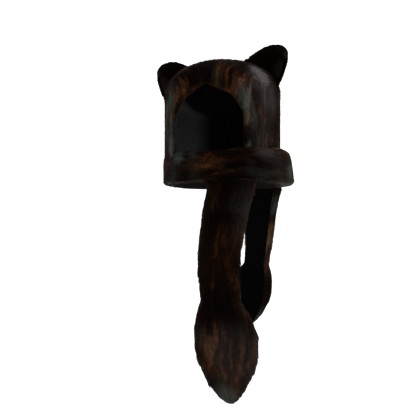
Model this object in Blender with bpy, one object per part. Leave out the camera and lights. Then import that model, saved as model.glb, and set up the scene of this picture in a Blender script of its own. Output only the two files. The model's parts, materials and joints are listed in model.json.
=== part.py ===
"""Animal hood: a round fur hood with a pointed face opening, two cup ears, a fur collar and two long tails.

Units are metres, +Z is up and the wearer faces -Y. The origin is the crown seat, where the top of a
head touches the lining. Every soft piece is a closed solid of its real thickness.
"""

import math

import bmesh
import bpy
from mathutils import Vector

# Clearance between two pieces that are sewn face to face
GAP = 0.0003

# Hood: outside radius, depth from the crown seat to the lower edge, and the crown's rise above the wall
HOOD_RADIUS = 0.129
HOOD_DEPTH = 0.181
CROWN_RISE = 0.0655
CROWN_ROUNDNESS = 2.1
FUR_WALL = 0.0137
LINING_WALL = 0.002

# Face opening: a pointed arch on two straight jambs, its lower corner cut back on the wearer's left
OPENING_HALF_WIDTH = 0.0700
OPENING_DROP = 0.0600
ARCH_RISE = 0.0600
LINING_SETBACK = 0.004
CHIN_CUT_WIDTH = 0.0140
CHIN_CUT_HEIGHT = 0.0110
CHIN_CUT_START = 0.0010
CUT_OVERRUN = 0.0200

# Collar: a padded band that swings out past the hood on the wearer's left and flares downwards
COLLAR_HEIGHT = 0.0630
COLLAR_WALL = 0.0170
COLLAR_SIDE_SWING = 0.0210
COLLAR_INNER_SHARE = 0.25
COLLAR_FLARE = 0.0090
COLLAR_LIP = 0.0120
COLLAR_FRONT_TUCK = 0.0060
COLLAR_SQUARENESS = 2.35
COLLAR_CHIN_DIP = 0.0050
CHIN_DIP_SHARE = 0.9
COLLAR_LIP_CLEARANCE = 0.0010
COLLAR_LIP_SEAT = 0.72
COLLAR_LIP_STEP = 0.08
COLLAR_LIP_SLOPE = 0.45

# Ears: half-oval cups that stand on the crown's shoulder
EAR_WIDTH = 0.0900
EAR_HEIGHT = 0.0690
EAR_WALL = 0.0090
EAR_CUP = 0.0200
EAR_LEAN = math.radians(45.0)
EAR_SEAT_TURN = math.radians(20.0)
EAR_SEAT_SHARE = 0.765
EAR_SINK = 0.0146
EAR_LINING_SHARE = 0.80

# Tails: flat strips that widen into a blunt paddle, one at the front and one at the back
TAIL_LENGTH = 0.3730
TAIL_WIDTH = 0.1120
TAIL_THICKNESS = 0.0230
TAIL_EDGE_SHARE = 0.34
TAIL_OFFSET = 0.0500
FRONT_TAIL_SWING = 0.0680
BACK_TAIL_SWING = 0.0800
TAIL_LINING_SHARE = 0.74
TAIL_LINING_SHIFT = 0.0075

# Numbers of faces round and along the pieces
HOOD_STEPS = 48
CROWN_STEPS = 9
COLLAR_STEPS = 48
EAR_ACROSS = 8
TAIL_ACROSS = 9

# One side of the arch from its jamb to its point, as shares of OPENING_HALF_WIDTH and ARCH_RISE
ARCH_SECTIONS = (
    # share_across, share_up
    (1.000, 0.00),
    (0.975, 0.10),
    (0.890, 0.28),
    (0.680, 0.625),
    (0.000, 1.00),
)

# The collar's section from its top edge down its outer face and under, as shares of its height and wall
COLLAR_SECTION = (
    # share_down, share_out
    (0.06, 0.92),
    (0.24, 1.00),
    (0.60, 1.00),
    (0.92, 0.99),
    (1.00, 0.85),
    (1.00, 0.00),
)

# A tail from its sewn end to its tip. The widths are shares of TAIL_WIDTH, the thickness of TAIL_THICKNESS,
# the drifts sideways of TAIL_WIDTH, and the swing away from the body of the tail's own swing.
TAIL_SECTIONS = (
    # share_down, share_width, share_thick, front_drift, back_drift, share_swing
    (0.000, 0.88, 0.80, 0.018, 0.230, 0.00),
    (0.090, 0.84, 0.86, -0.034, 0.175, 0.17),
    (0.180, 0.80, 0.90, -0.070, 0.125, 0.34),
    (0.330, 0.74, 0.92, -0.096, 0.080, 0.63),
    (0.420, 0.70, 0.92, -0.087, 0.040, 0.80),
    (0.540, 0.66, 0.94, -0.020, -0.025, 0.95),
    (0.600, 0.86, 1.00, 0.030, -0.075, 0.98),
    (0.665, 1.00, 1.00, 0.058, -0.110, 1.00),
    (0.750, 1.01, 1.00, 0.067, -0.128, 1.00),
    (0.810, 0.94, 0.94, 0.070, -0.132, 1.00),
    (0.910, 0.63, 0.74, 0.073, -0.140, 0.98),
    (0.975, 0.33, 0.44, 0.090, -0.165, 0.95),
    (1.000, 0.14, 0.22, 0.100, -0.180, 0.93),
)

# An ear from below its seat to its tip, as shares of EAR_HEIGHT, half of EAR_WIDTH and EAR_CUP.
# The bend is towards the middle of the crown, as a share of half of EAR_WIDTH.
EAR_SECTIONS = (
    # share_up, share_half, share_cup, share_bend
    (-0.42, 0.98, 0.90, 0.02),
    (0.00, 0.98, 1.00, 0.02),
    (0.22, 0.95, 1.00, 0.04),
    (0.45, 0.88, 0.92, 0.07),
    (0.66, 0.75, 0.76, 0.09),
    (0.83, 0.57, 0.52, 0.08),
    (0.95, 0.34, 0.26, 0.06),
    (1.00, 0.14, 0.10, 0.05),
)

# Finishes: linear colour, roughness
FUR = ((0.030, 0.017, 0.010), 0.85)
FUR_TAN = ((0.045, 0.028, 0.016), 0.85)
LINING_CLOTH = ((0.010, 0.010, 0.010), 0.70)

# The band's lower face, which the tails hang from
COLLAR_BOTTOM = -HOOD_DEPTH - GAP - COLLAR_HEIGHT


def clear_scene():
    for item in list(bpy.data.objects):
        bpy.data.objects.remove(item, do_unlink=True)


def material(name, finish):
    colour, roughness = finish
    made = bpy.data.materials.new(name)
    made.use_nodes = True
    shader = made.node_tree.nodes["Principled BSDF"]
    shader.inputs["Base Color"].default_value = (*colour, 1.0)
    shader.inputs["Roughness"].default_value = roughness
    shader.inputs["Metallic"].default_value = 0.0
    made.diffuse_color = (*colour, 1.0)
    return made


def add_object(name, bm, finish):
    """Closes off a bmesh into a named object with its own material."""
    bmesh.ops.recalc_face_normals(bm, faces=bm.faces)
    mesh = bpy.data.meshes.new(name)
    bm.to_mesh(mesh)
    bm.free()
    made = bpy.data.objects.new(name, mesh)
    bpy.context.collection.objects.link(made)
    mesh.materials.append(material(name, finish))
    mesh.shade_smooth()
    mesh.set_sharp_from_angle(angle=math.radians(45))
    return made


def skin(bm, lower, upper):
    """Joins two closed rows of vertices with quads."""
    pairs = list(zip(lower, upper))
    for (a, b), (c, d) in zip(pairs, pairs[1:] + pairs[:1]):
        bm.faces.new((a, c, d, b))


def loft(rings, looped=False):
    """A solid through closed rings of points: capped at both ends, or looped round to its start."""
    bm = bmesh.new()
    rows = [[bm.verts.new(point) for point in ring] for ring in rings]
    for lower, upper in zip(rows, rows[1:]):
        skin(bm, lower, upper)
    if looped:
        skin(bm, rows[-1], rows[0])
    else:
        bm.faces.new(rows[0])
        bm.faces.new(rows[-1])
    bmesh.ops.triangulate(bm, faces=[face for face in bm.faces if len(face.verts) > 4])
    return bm


def turned(profile, steps):
    """A closed solid of revolution from a profile whose ends lie on the Z axis."""
    bm = bmesh.new()
    verts = [bm.verts.new(point) for point in profile]
    edges = [bm.edges.new(pair) for pair in zip(verts, verts[1:])]
    bmesh.ops.spin(
        bm,
        geom=verts + edges,
        cent=(0.0, 0.0, 0.0),
        axis=(0.0, 0.0, 1.0),
        angle=math.tau,
        steps=steps,
        use_merge=True,
    )
    bmesh.ops.remove_doubles(bm, verts=bm.verts, dist=0.00001)
    return bm


def cutter(name, bm):
    """A guide for a Boolean, which isn't part of the model."""
    bmesh.ops.recalc_face_normals(bm, faces=bm.faces)
    mesh = bpy.data.meshes.new(name)
    bm.to_mesh(mesh)
    bm.free()
    made = bpy.data.objects.new(name, mesh)
    bpy.context.collection.objects.link(made)
    made.hide_render = True
    made.display_type = "WIRE"
    return made


def cut(target, tool):
    step = target.modifiers.new("cut_" + tool.name, "BOOLEAN")
    step.operation = "DIFFERENCE"
    step.solver = "EXACT"
    step.object = tool


def crown_height(share):
    """Height of the hood's outside at a share of its radius."""
    top = LINING_WALL + GAP + FUR_WALL
    return top - CROWN_RISE * (1.0 - (1.0 - share**CROWN_ROUNDNESS) ** (1.0 / CROWN_ROUNDNESS))


def crown_profile(radius, top, bottom):
    """The hood's outline at one depth of its wall, from the crown down to the lower edge."""
    rise = CROWN_RISE * radius / HOOD_RADIUS
    points = []
    for step in range(CROWN_STEPS + 1):
        turn = 0.5 * math.pi * step / CROWN_STEPS
        out = radius * math.sin(turn) ** (2.0 / CROWN_ROUNDNESS)
        up = rise * max(math.cos(turn), 0.0) ** (2.0 / CROWN_ROUNDNESS)
        points.append(Vector((out, 0.0, top - rise + up)))
    points[0].x = 0.0
    points.append(Vector((radius, 0.0, bottom)))
    return points


def hood_wall(outer, wall, top, bottom):
    """A domed tube wall between an outer radius and the same form one wall further in."""
    outside = crown_profile(outer, top, bottom)
    inside = crown_profile(outer - wall, top - wall, bottom)
    return turned(outside + inside[::-1], HOOD_STEPS)


def arch_outline(margin):
    """The face opening seen from the front, from one lower corner over the point to the other."""
    half = OPENING_HALF_WIDTH + margin
    apex = -OPENING_DROP + margin
    spring = apex - ARCH_RISE
    below = -HOOD_DEPTH - COLLAR_HEIGHT
    arch = [(half * across, spring + ARCH_RISE * up) for across, up in ARCH_SECTIONS]
    cut_side = half + CHIN_CUT_WIDTH
    cut_top = CHIN_CUT_HEIGHT - HOOD_DEPTH
    wearer_left = [(cut_side, below), (cut_side, cut_top), (half, CHIN_CUT_START - HOOD_DEPTH)]
    wearer_right = [(-across, up) for across, up in arch[-2::-1]] + [(-half, below)]
    return wearer_left + arch + wearer_right


def arch_cutter(name, margin):
    """A prism of the opening's outline through the front wall alone."""
    outline = arch_outline(margin)
    front = [Vector((across, -HOOD_RADIUS - CUT_OVERRUN, up)) for across, up in outline]
    back = [Vector((across, -CUT_OVERRUN, up)) for across, up in outline]
    return cutter(name, loft([front, back]))


def collar_reach(turn, share_down, wall_share):
    """A point of the collar's plan: 0 at its inner face, 1 at its outer face."""
    power = 2.0 / COLLAR_SQUARENESS
    cos = math.copysign(abs(math.cos(turn)) ** power, math.cos(turn))
    sin = math.copysign(abs(math.sin(turn)) ** power, math.sin(turn))
    swing = COLLAR_SIDE_SWING + COLLAR_FLARE * share_down
    outer_x = cos * (HOOD_RADIUS + 0.5 * swing) + 0.5 * swing
    outer_y = sin * (HOOD_RADIUS - COLLAR_FRONT_TUCK)
    inner_radius = HOOD_RADIUS - COLLAR_WALL
    inner_shift = COLLAR_INNER_SHARE * COLLAR_SIDE_SWING
    inner_x = math.cos(turn) * (inner_radius + inner_shift) + inner_shift
    inner_y = math.sin(turn) * (inner_radius - 0.5 * COLLAR_FRONT_TUCK)
    x = inner_x + (outer_x - inner_x) * wall_share
    y = inner_y + (outer_y - inner_y) * wall_share
    return x, y


def chin_dip(turn):
    """How far the collar's top edge sags under the face opening, at the front alone."""
    across = abs(math.remainder(turn + 0.5 * math.pi, math.tau))
    reach = CHIN_DIP_SHARE * math.asin(OPENING_HALF_WIDTH / HOOD_RADIUS)
    if across >= reach:
        return 0.0
    return COLLAR_CHIN_DIP * math.cos(0.5 * math.pi * across / reach) ** 2


def collar_lip(turn):
    """Where the top edge steps up outside the hood's wall, as a share of its own wall, and how high."""
    inner = math.hypot(*collar_reach(turn, 0.0, 0.0))
    outer = math.hypot(*collar_reach(turn, 0.0, 1.0))
    seat = (HOOD_RADIUS + COLLAR_LIP_CLEARANCE - inner) / (outer - inner)
    if seat >= COLLAR_LIP_SEAT:
        return COLLAR_LIP_SEAT, 0.0
    ramp = min(1.0, 3.0 * (1.0 - seat / COLLAR_LIP_SEAT))
    return seat, COLLAR_LIP * ramp * max(math.cos(turn), 0.0) ** 4


def make_collar():
    top = -HOOD_DEPTH - GAP
    rings = []
    for step in range(COLLAR_STEPS):
        turn = math.tau * step / COLLAR_STEPS
        edge = top - chin_dip(turn)
        seat, lip = collar_lip(turn)
        ring = []
        for share_out, rise in ((0.0, 0.0), (seat, 0.0), (seat + COLLAR_LIP_STEP, lip)):
            x, y = collar_reach(turn, 0.0, share_out)
            ring.append(Vector((x, y, edge + rise)))
        for share_down, share_out in COLLAR_SECTION:
            x, y = collar_reach(turn, share_down, share_out)
            rise = COLLAR_LIP_SLOPE * lip * (1.0 - share_down)
            ring.append(Vector((x, y, edge + rise - (edge - COLLAR_BOTTOM) * share_down)))
        rings.append(ring)
    return add_object("collar", loft(rings, looped=True), FUR)


def make_collar_lining():
    top = -HOOD_DEPTH - GAP
    rings = []
    for step in range(COLLAR_STEPS):
        turn = math.tau * step / COLLAR_STEPS
        x, y = collar_reach(turn, 0.0, 0.0)
        flat = Vector((x, y, 0.0))
        inward = -flat.normalized()
        near = flat + inward * GAP
        far = flat + inward * (GAP + LINING_WALL)
        upper = Vector((0.0, 0.0, top - chin_dip(turn)))
        lower = Vector((0.0, 0.0, COLLAR_BOTTOM))
        rings.append([near + lower, near + upper, far + upper, far + lower])
    return add_object("collar_lining", loft(rings, looped=True), LINING_CLOTH)


def make_hood_shell(opening):
    bm = hood_wall(HOOD_RADIUS, FUR_WALL, LINING_WALL + GAP + FUR_WALL, -HOOD_DEPTH)
    made = add_object("hood_shell", bm, FUR)
    cut(made, opening)
    return made


def make_hood_lining(opening):
    bm = hood_wall(HOOD_RADIUS - FUR_WALL - GAP, LINING_WALL, LINING_WALL, -HOOD_DEPTH)
    made = add_object("hood_lining", bm, LINING_CLOTH)
    cut(made, opening)
    return made


def crown_clearance():
    """The hood's outside grown by the sewing gap, which the ears are cut to."""
    radius = HOOD_RADIUS + GAP
    outside = crown_profile(radius, LINING_WALL + FUR_WALL + 2.0 * GAP, -HOOD_DEPTH)
    floor = Vector((0.0, 0.0, -HOOD_DEPTH))
    return cutter("crown_clearance", turned(outside + [floor], HOOD_STEPS))


def ear_point(side, along, up, forward):
    """From an ear's own frame to the hood's: along its seat, up its height and forward."""
    seat = HOOD_RADIUS * EAR_SEAT_SHARE
    out = seat * math.cos(EAR_SEAT_TURN) + along * math.cos(EAR_LEAN) + up * math.sin(EAR_LEAN)
    rise = crown_height(EAR_SEAT_SHARE) - EAR_SINK - along * math.sin(EAR_LEAN) + up * math.cos(EAR_LEAN)
    return Vector((side * out, -seat * math.sin(EAR_SEAT_TURN) - forward, rise))


def ear_back(share_along, share_cup):
    """How far the cup's floor lies behind its rim."""
    return -EAR_CUP * share_cup * (1.0 - share_along**2)


def make_ear(side, name, clearance):
    rings = []
    for share_up, share_half, share_cup, share_bend in EAR_SECTIONS:
        half = 0.5 * EAR_WIDTH * share_half
        bend = 0.5 * EAR_WIDTH * share_bend
        wall = min(EAR_WALL, half)
        ring = []
        for face, order in ((-0.5, range(EAR_ACROSS + 1)), (0.5, range(EAR_ACROSS - 1, 0, -1))):
            for step in order:
                share = 2.0 * step / EAR_ACROSS - 1.0
                forward = ear_back(share, share_cup) + face * wall * (1.0 - share**4)
                ring.append(ear_point(side, half * share - bend, EAR_HEIGHT * share_up, forward))
        rings.append(ring)
    made = add_object(name, loft(rings), FUR)
    cut(made, clearance)
    return made


def make_ear_lining(side, name, clearance):
    """A thin cloth dish that lies on the cup's front, short of its rim."""
    rings = []
    for share_up, share_half, share_cup, share_bend in EAR_SECTIONS[:-1]:
        share_up = share_up * EAR_LINING_SHARE
        half = 0.5 * EAR_WIDTH * share_half
        bend = 0.5 * EAR_WIDTH * share_bend
        ring = []
        for front, order in ((0.0, 1), (1.0, -1)):
            for step in range(EAR_ACROSS + 1)[::order]:
                share = (2.0 * step / EAR_ACROSS - 1.0) * EAR_LINING_SHARE
                wall = 0.5 * EAR_WALL * (1.0 - share**4) + GAP + front * LINING_WALL
                forward = ear_back(share, share_cup) + wall
                ring.append(ear_point(side, half * share - bend, EAR_HEIGHT * share_up, forward))
        rings.append(ring)
    made = add_object(name, loft(rings), LINING_CLOTH)
    cut(made, clearance)
    return made


def tail_frames(facing):
    """A tail's centre, half width and thickness at each section, facing -1 at the front, 1 at the back."""
    seat = HOOD_RADIUS - 0.5 * (COLLAR_WALL + COLLAR_FRONT_TUCK) - 0.5 * TAIL_THICKNESS
    swing = FRONT_TAIL_SWING if facing < 0 else BACK_TAIL_SWING
    frames = []
    for share_down, share_width, share_thick, front_drift, back_drift, share_swing in TAIL_SECTIONS:
        drift = front_drift if facing < 0 else back_drift
        centre = Vector((
            TAIL_OFFSET + TAIL_WIDTH * drift,
            facing * (seat + swing * share_swing),
            COLLAR_BOTTOM - GAP - TAIL_LENGTH * share_down,
        ))
        frames.append((centre, 0.5 * TAIL_WIDTH * share_width, TAIL_THICKNESS * share_thick))
    return frames


def lining_edges(half):
    """The lined strip's two edges across a tail, which sit off its middle."""
    reach = half * TAIL_LINING_SHARE
    shift = TAIL_LINING_SHIFT * half / (0.5 * TAIL_WIDTH)
    return -reach - shift, reach - shift


def make_tail(name, facing):
    rings = []
    for centre, half, thick in tail_frames(facing):
        right, left = lining_edges(half)
        ring = [centre + Vector((right, 0.0, 0.0)), centre + Vector((left, 0.0, 0.0))]
        for step in range(TAIL_ACROSS + 1):
            turn = math.pi * step / TAIL_ACROSS
            across = half * math.cos(turn)
            out = thick * (TAIL_EDGE_SHARE + (1.0 - TAIL_EDGE_SHARE) * math.sin(turn))
            ring.append(centre + Vector((across, facing * out, 0.0)))
        rings.append(ring)
    return add_object(name, loft(rings), FUR_TAN)


def make_tail_lining(name, facing):
    """The plain cloth strip on a tail's flat face, short of both ends."""
    rings = []
    for centre, half, thick in tail_frames(facing)[:-1]:
        right, left = lining_edges(half)
        near = Vector((0.0, -facing * GAP, 0.0))
        far = Vector((0.0, -facing * (GAP + LINING_WALL), 0.0))
        inset = min(LINING_WALL, 0.2 * (left - right))
        ring = [
            centre + near + Vector((right + inset, 0.0, 0.0)),
            centre + near + Vector((left - inset, 0.0, 0.0)),
            centre + far + Vector((left - inset, 0.0, 0.0)),
            centre + far + Vector((right + inset, 0.0, 0.0)),
        ]
        rings.append(ring)
    return add_object(name, loft(rings), LINING_CLOTH)


def build():
    clear_scene()
    make_hood_shell(arch_cutter("face_cut", 0.0))
    make_hood_lining(arch_cutter("lining_cut", LINING_SETBACK))
    make_collar()
    make_collar_lining()
    clearance = crown_clearance()
    for side, label in ((1, "left"), (-1, "right")):
        make_ear(side, "ear_" + label, clearance)
        make_ear_lining(side, "ear_lining_" + label, clearance)
    for facing, label in ((-1, "front_tail"), (1, "back_tail")):
        make_tail(label, facing)
        make_tail_lining(label + "_lining", facing)


build()
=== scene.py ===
"""Looks of a fur animal hood: short pile over padded forms, cloth linings, and the studio around it.

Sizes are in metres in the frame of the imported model: the origin is the crown seat, -Y is the way the
wearer faces, +X the wearer's left and +Z up. Each sub-assembly is a class that holds its sizes, builds
its meshes and dresses them. Fur is drawn as closed tapered locks that lie along a combed direction.
"""

import json
import logging
import math
from dataclasses import dataclass, field, replace
from enum import Enum

import bmesh
import bpy
import numpy as np
from mathutils import Matrix, Vector
from mathutils.bvhtree import BVHTree
from mathutils.kdtree import KDTree

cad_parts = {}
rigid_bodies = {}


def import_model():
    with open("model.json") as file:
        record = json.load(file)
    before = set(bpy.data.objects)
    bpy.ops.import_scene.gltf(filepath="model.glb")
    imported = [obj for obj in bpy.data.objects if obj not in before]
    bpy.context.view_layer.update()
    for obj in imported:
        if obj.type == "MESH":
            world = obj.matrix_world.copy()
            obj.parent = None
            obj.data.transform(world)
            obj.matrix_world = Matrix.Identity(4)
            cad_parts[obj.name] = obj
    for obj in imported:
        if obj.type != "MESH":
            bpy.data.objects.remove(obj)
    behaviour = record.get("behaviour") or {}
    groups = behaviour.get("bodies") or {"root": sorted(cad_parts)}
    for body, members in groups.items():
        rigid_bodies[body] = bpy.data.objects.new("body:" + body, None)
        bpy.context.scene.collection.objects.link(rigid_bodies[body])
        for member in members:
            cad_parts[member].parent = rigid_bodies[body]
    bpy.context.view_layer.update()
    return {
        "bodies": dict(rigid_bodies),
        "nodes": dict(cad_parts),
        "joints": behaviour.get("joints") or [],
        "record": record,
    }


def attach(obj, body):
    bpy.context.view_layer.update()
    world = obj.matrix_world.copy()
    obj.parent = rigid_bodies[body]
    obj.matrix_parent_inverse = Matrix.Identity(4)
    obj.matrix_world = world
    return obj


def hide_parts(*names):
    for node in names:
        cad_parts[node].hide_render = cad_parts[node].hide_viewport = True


log = logging.getLogger("hood")

BODY = "root"
BAKE_MAP = "OFBake"
TONE = "fur_tone"
SEAM = "seam_side"
MM = 0.001

MERGE = 0.02 * MM
LONG_EDGE = 8 * MM
SLACK = 0.8 * MM
SLACK_SIZE = 18 * MM
CREASE = math.radians(50)
DRAWN_BACK = 0.95
FILL_FRAMES = 12
TINY = 1e-9

STREAK_STEPS = 9
STREAK_GAIN = 2.6
HASH = (73856093, 19349663, 83492791, 2654435761)
HASH_MIX = 1274126177
LOW_BITS = 0xFFFF


class Side(Enum):
    """Which side of the wearer a paired piece is on."""

    LEFT = "left"
    RIGHT = "right"

    @property
    def sign(self) -> int:
        """The side's sign on the X axis."""
        return 1 if self is Side.LEFT else -1


class Facing(Enum):
    """Which end of the collar a tail hangs from."""

    FRONT = "front"
    BACK = "back"

    @property
    def sign(self) -> int:
        """The tail's sign on the Y axis."""
        return -1 if self is Facing.FRONT else 1


class Hue(Enum):
    """The channel of the tone attribute that a patch of colour adds to."""

    TAN = 0
    GRIZZLE = 1
    # Grey that is mostly painted sheen where the pile would catch the light, and in a few places the
    # coat's own grey.
    SILVER_AND_SHEEN = 2


@dataclass(frozen=True)
class Patch:
    """A soft round patch of colour in the coat.

    Attributes:
        centre: Its middle on the coat, in metres.
        radius: How far it reaches.
        hue: Which tone it adds.
        strength: How much it adds at its middle; below zero it takes away.
    """

    centre: tuple[float, float, float]
    radius: float
    hue: Hue
    strength: float


def linear(colour: str) -> tuple[float, float, float, float]:
    """Turns an sRGB hex colour into linear light.

    Args:
        colour: The colour, such as "#2b1a10".

    Returns:
        Red, green, blue and an alpha of 1.
    """
    parts = [int(colour[k : k + 2], 16) / 255 for k in (1, 3, 5)]
    light = [c / 12.92 if c <= 0.04045 else ((c + 0.055) / 1.055) ** 2.4 for c in parts]
    return (*light, 1.0)


def add_node(
    tree: bpy.types.NodeTree,
    kind: str,
    values: dict[str | int, object] | None = None,
    links: dict[str | int, bpy.types.NodeSocket] | None = None,
    stops: list[tuple[float, str]] | None = None,
    **settings: object,
) -> bpy.types.Node:
    """Adds a node with its settings and links.

    Args:
        tree: The node tree that it goes into.
        kind: The node's type name.
        values: Numbers or colours for its input sockets, by name or place.
        links: Output sockets to join to its input sockets, by name or place.
        stops: Positions and hex colours, for a colour ramp.
        settings: The node's own properties.

    Returns:
        The new node.
    """
    node = tree.nodes.new(kind)
    for name, value in settings.items():
        setattr(node, name, value)
    for key, value in (values or {}).items():
        node.inputs[key].default_value = value
    for key, socket in (links or {}).items():
        tree.links.new(socket, node.inputs[key])
    if stops:
        ramp = node.color_ramp
        while len(ramp.elements) < len(stops):
            ramp.elements.new(0.5)
        for element, (place, colour) in zip(ramp.elements, stops):
            element.position = place
            element.color = linear(colour)
    return node


def blank_material(name: str) -> tuple[bpy.types.Material, bpy.types.NodeTree]:
    """Makes a material with an empty node tree.

    Args:
        name: The material's name.

    Returns:
        The material and its node tree.
    """
    material = bpy.data.materials.new(name)
    material.use_nodes = True
    material.node_tree.nodes.clear()
    return material, material.node_tree


def to_surface(tree: bpy.types.NodeTree, shader: bpy.types.Node) -> None:
    """Joins a shader to the tree's output."""
    add_node(tree, "ShaderNodeOutputMaterial", links={"Surface": shader.outputs[0]})


def calculate(
    tree: bpy.types.NodeTree,
    operation: str,
    first: bpy.types.NodeSocket,
    second: bpy.types.NodeSocket | float = 0.0,
) -> bpy.types.NodeSocket:
    """Adds a sum of one or two values.

    Args:
        tree: The node tree that it goes into.
        operation: The sum, such as "MULTIPLY".
        first: The first value.
        second: The second value, or a number.

    Returns:
        The result.
    """
    given = "links" if isinstance(second, bpy.types.NodeSocket) else "values"
    inputs = {"links": {0: first}, "values": {}}
    inputs[given][1] = second
    return add_node(tree, "ShaderNodeMath", operation=operation, **inputs).outputs[0]


def remap(
    tree: bpy.types.NodeTree,
    value: bpy.types.NodeSocket,
    source: tuple[float, float],
    target: tuple[float, float],
) -> bpy.types.NodeSocket:
    """Adds a node that moves a value from one range to another and holds it there.

    Args:
        tree: The node tree that it goes into.
        value: The value.
        source: The range that it comes from.
        target: The range that it goes to.

    Returns:
        The moved value.
    """
    names = ("From Min", "From Max", "To Min", "To Max")
    limits = dict(zip(names, source + target))
    return add_node(tree, "ShaderNodeMapRange", links={"Value": value}, values=limits).outputs[0]


def tinted(
    tree: bpy.types.NodeTree,
    share: bpy.types.NodeSocket,
    under: bpy.types.NodeSocket,
    colour: str,
) -> bpy.types.NodeSocket:
    """Adds a node that lays a colour over another by a share.

    Args:
        tree: The node tree that it goes into.
        share: How much of the new colour shows.
        under: The colour under it.
        colour: The new colour in sRGB hex.

    Returns:
        The mixed colour.
    """
    links = {0: share, 6: under}
    values = {7: linear(colour)}
    mix = add_node(tree, "ShaderNodeMix", data_type="RGBA", links=links, values=values)
    return mix.outputs[2]


def uneven(
    tree: bpy.types.NodeTree,
    size: float,
    detail: float,
    roughness: float,
    spread: tuple[float, float],
) -> bpy.types.NodeSocket:
    """Adds noise that makes a dyed colour a little lighter and darker from place to place.

    Args:
        tree: The node tree that it goes into.
        size: How big the blotches are, in metres.
        detail: How many finer octaves they have.
        roughness: How strong the finer ones are.
        spread: The darkest and lightest factor.

    Returns:
        The factor.
    """
    place = add_node(tree, "ShaderNodeTexCoord").outputs["Object"]
    values = {"Scale": 1 / size, "Detail": detail, "Roughness": roughness}
    noise = add_node(tree, "ShaderNodeTexNoise", links={"Vector": place}, values=values)
    return remap(tree, noise.outputs[0], (0.3, 0.7), spread)


def darkened(
    tree: bpy.types.NodeTree, colour: bpy.types.NodeSocket, factor: bpy.types.NodeSocket
) -> bpy.types.NodeSocket:
    """Adds a node that multiplies a colour by a factor, and gives back its output."""
    links = {0: colour, "Scale": factor}
    return add_node(tree, "ShaderNodeVectorMath", operation="SCALE", links=links).outputs[0]


@dataclass(frozen=True)
class FurFinish:
    """Short-pile faux fur: modacrylic fibre, printed in a wild coat and brushed flat.

    To the eye it is nearly black between the locks, brown and tan along them, with a grey glow where
    the pile turns away from the light. The colour also holds painted light: it darkens towards each
    lock's root as painted shade between the locks, and its silver tone is mostly painted sheen, grey
    laid in where the pile would catch the key light.
    """

    name: str = "modacrylic_short_pile_fur"
    deep: str = "#0a0402"
    brown: str = "#1b0f08"
    rust: str = "#46260f"
    tan: str = "#5a4932"
    grizzle: str = "#454a43"
    # The grey of the silver tone, mostly painted sheen where the pile would catch the key light.
    silver_and_sheen: str = "#5c5858"
    roughness: float = 0.45
    specular: float = 0.013
    # Painted shade: the share of the colour left at a lock's root, standing in for the shade between
    # locks.
    root_shade: float = 0.35
    mottle_size: float = 5.0 * MM
    mottle_spread: tuple[float, float] = (0.72, 1.18)

    def material(self) -> bpy.types.Material:
        """Builds the material, which reads its colours from the tone attribute.

        Returns:
            The material.
        """
        material, tree = blank_material(self.name)
        tone = add_node(tree, "ShaderNodeAttribute", attribute_name=TONE).outputs
        warmth, grizzle, silver_and_sheen = add_node(
            tree, "ShaderNodeSeparateColor", links={0: tone["Color"]}
        ).outputs
        coat = add_node(
            tree,
            "ShaderNodeValToRGB",
            links={0: warmth},
            stops=[(0.0, self.deep), (0.38, self.brown), (0.68, self.rust), (1.0, self.tan)],
        )
        colour = tinted(tree, grizzle, coat.outputs[0], self.grizzle)
        # Painted sheen, and in a few places a plain grey, from the silver tone.
        colour = tinted(tree, silver_and_sheen, colour, self.silver_and_sheen)
        mottle = uneven(tree, self.mottle_size, 3.0, 0.6, self.mottle_spread)
        # Painted shade: darker from each lock's tip to its root, and on the backing under the locks.
        shade = remap(tree, tone["Alpha"], (0.0, 1.0), (self.root_shade, 1.0))
        colour = darkened(tree, colour, calculate(tree, "MULTIPLY", shade, mottle))
        shader = add_node(
            tree,
            "ShaderNodeBsdfPrincipled",
            links={"Base Color": colour},
            values={"Roughness": self.roughness, "Specular IOR Level": self.specular},
        )
        to_surface(tree, shader)
        return material


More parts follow.
